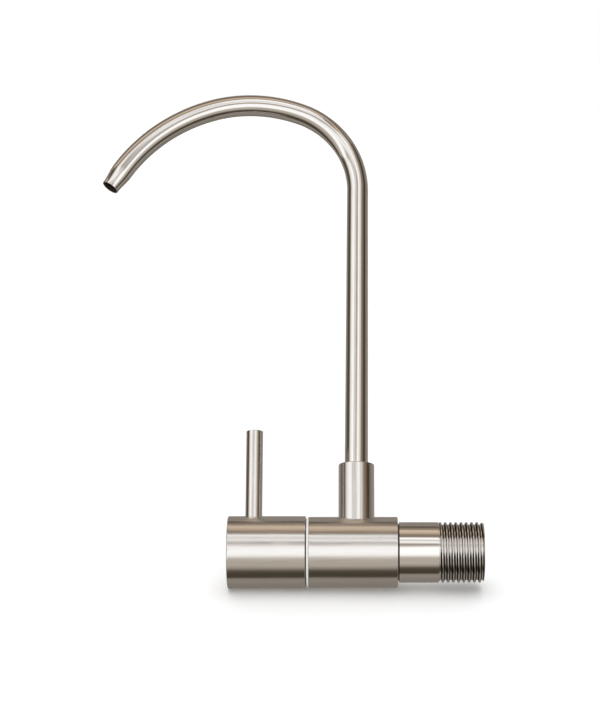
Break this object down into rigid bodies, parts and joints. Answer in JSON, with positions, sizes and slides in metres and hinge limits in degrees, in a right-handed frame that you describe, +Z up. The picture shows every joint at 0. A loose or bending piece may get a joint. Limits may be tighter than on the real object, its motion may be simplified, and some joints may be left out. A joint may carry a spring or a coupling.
{
  "type": "wall-mounted drinking water tap",
  "caption": "Wall-mounted drinking water tap: horizontal body with threaded inlet tail, side drum handle with lever rod, and a swivel gooseneck spout with a drawn-in mouth.",
  "frame": {"origin": "on the axis of the inlet thread, at the plane where the thread starts", "axes": "+X along the tap's axis into the wall, +Z up along the spout's collar, -Y towards the person who uses it"},
  "size_m": [0.1344, 0.0359, 0.179],
  "materials": {
    "satin_steel": "satin, warm grey stainless steel",
    "white_plastic": "moulded, slightly shiny",
    "black_rubber": "matt moulded rubber",
    "brass": "turned, unplated",
    "bearing_plastic": "turned acetal",
    "ceramic_disc": "lapped alumina",
    "spring_steel": "plain steel"
  },
  "bodies": {
    "tap_body": {"valve_body": "satin_steel", "inlet_tail": "satin_steel", "tail_gasket": "black_rubber", "slip_ring": "white_plastic", "cartridge_housing": "brass", "thrust_washer": "bearing_plastic", "fixed_disc": "ceramic_disc", "seat_seal": "black_rubber", "bonnet_o_ring": "black_rubber", "spout_glide_ring": "bearing_plastic", "spout_snap_ring": "spring_steel"},
    "handle": {"handle_drum": "satin_steel", "lever_rod": "satin_steel", "handle_grub_screw": "spring_steel", "cartridge_spindle": "brass", "spindle_o_ring_outer": "black_rubber", "spindle_o_ring_inner": "black_rubber", "spindle_circlip": "spring_steel", "moving_disc": "ceramic_disc"},
    "spout": {"spout_tube": "satin_steel", "spout_bush": "brass", "spout_o_ring_upper": "black_rubber", "spout_o_ring_lower": "black_rubber"}
  },
  "joints": [
    {"name": "handle_turn", "type": "hinge", "parent": "tap_body", "child": "handle", "pos_m": [-0.0644, 0, 0], "axis": [1, 0, 0], "range_deg": [0, 90]},
    {"name": "spout_swivel", "type": "hinge", "parent": "tap_body", "child": "spout", "pos_m": [-0.0287, 0, 0.031], "axis": [0, 0, 1], "continuous": true}
  ]
}
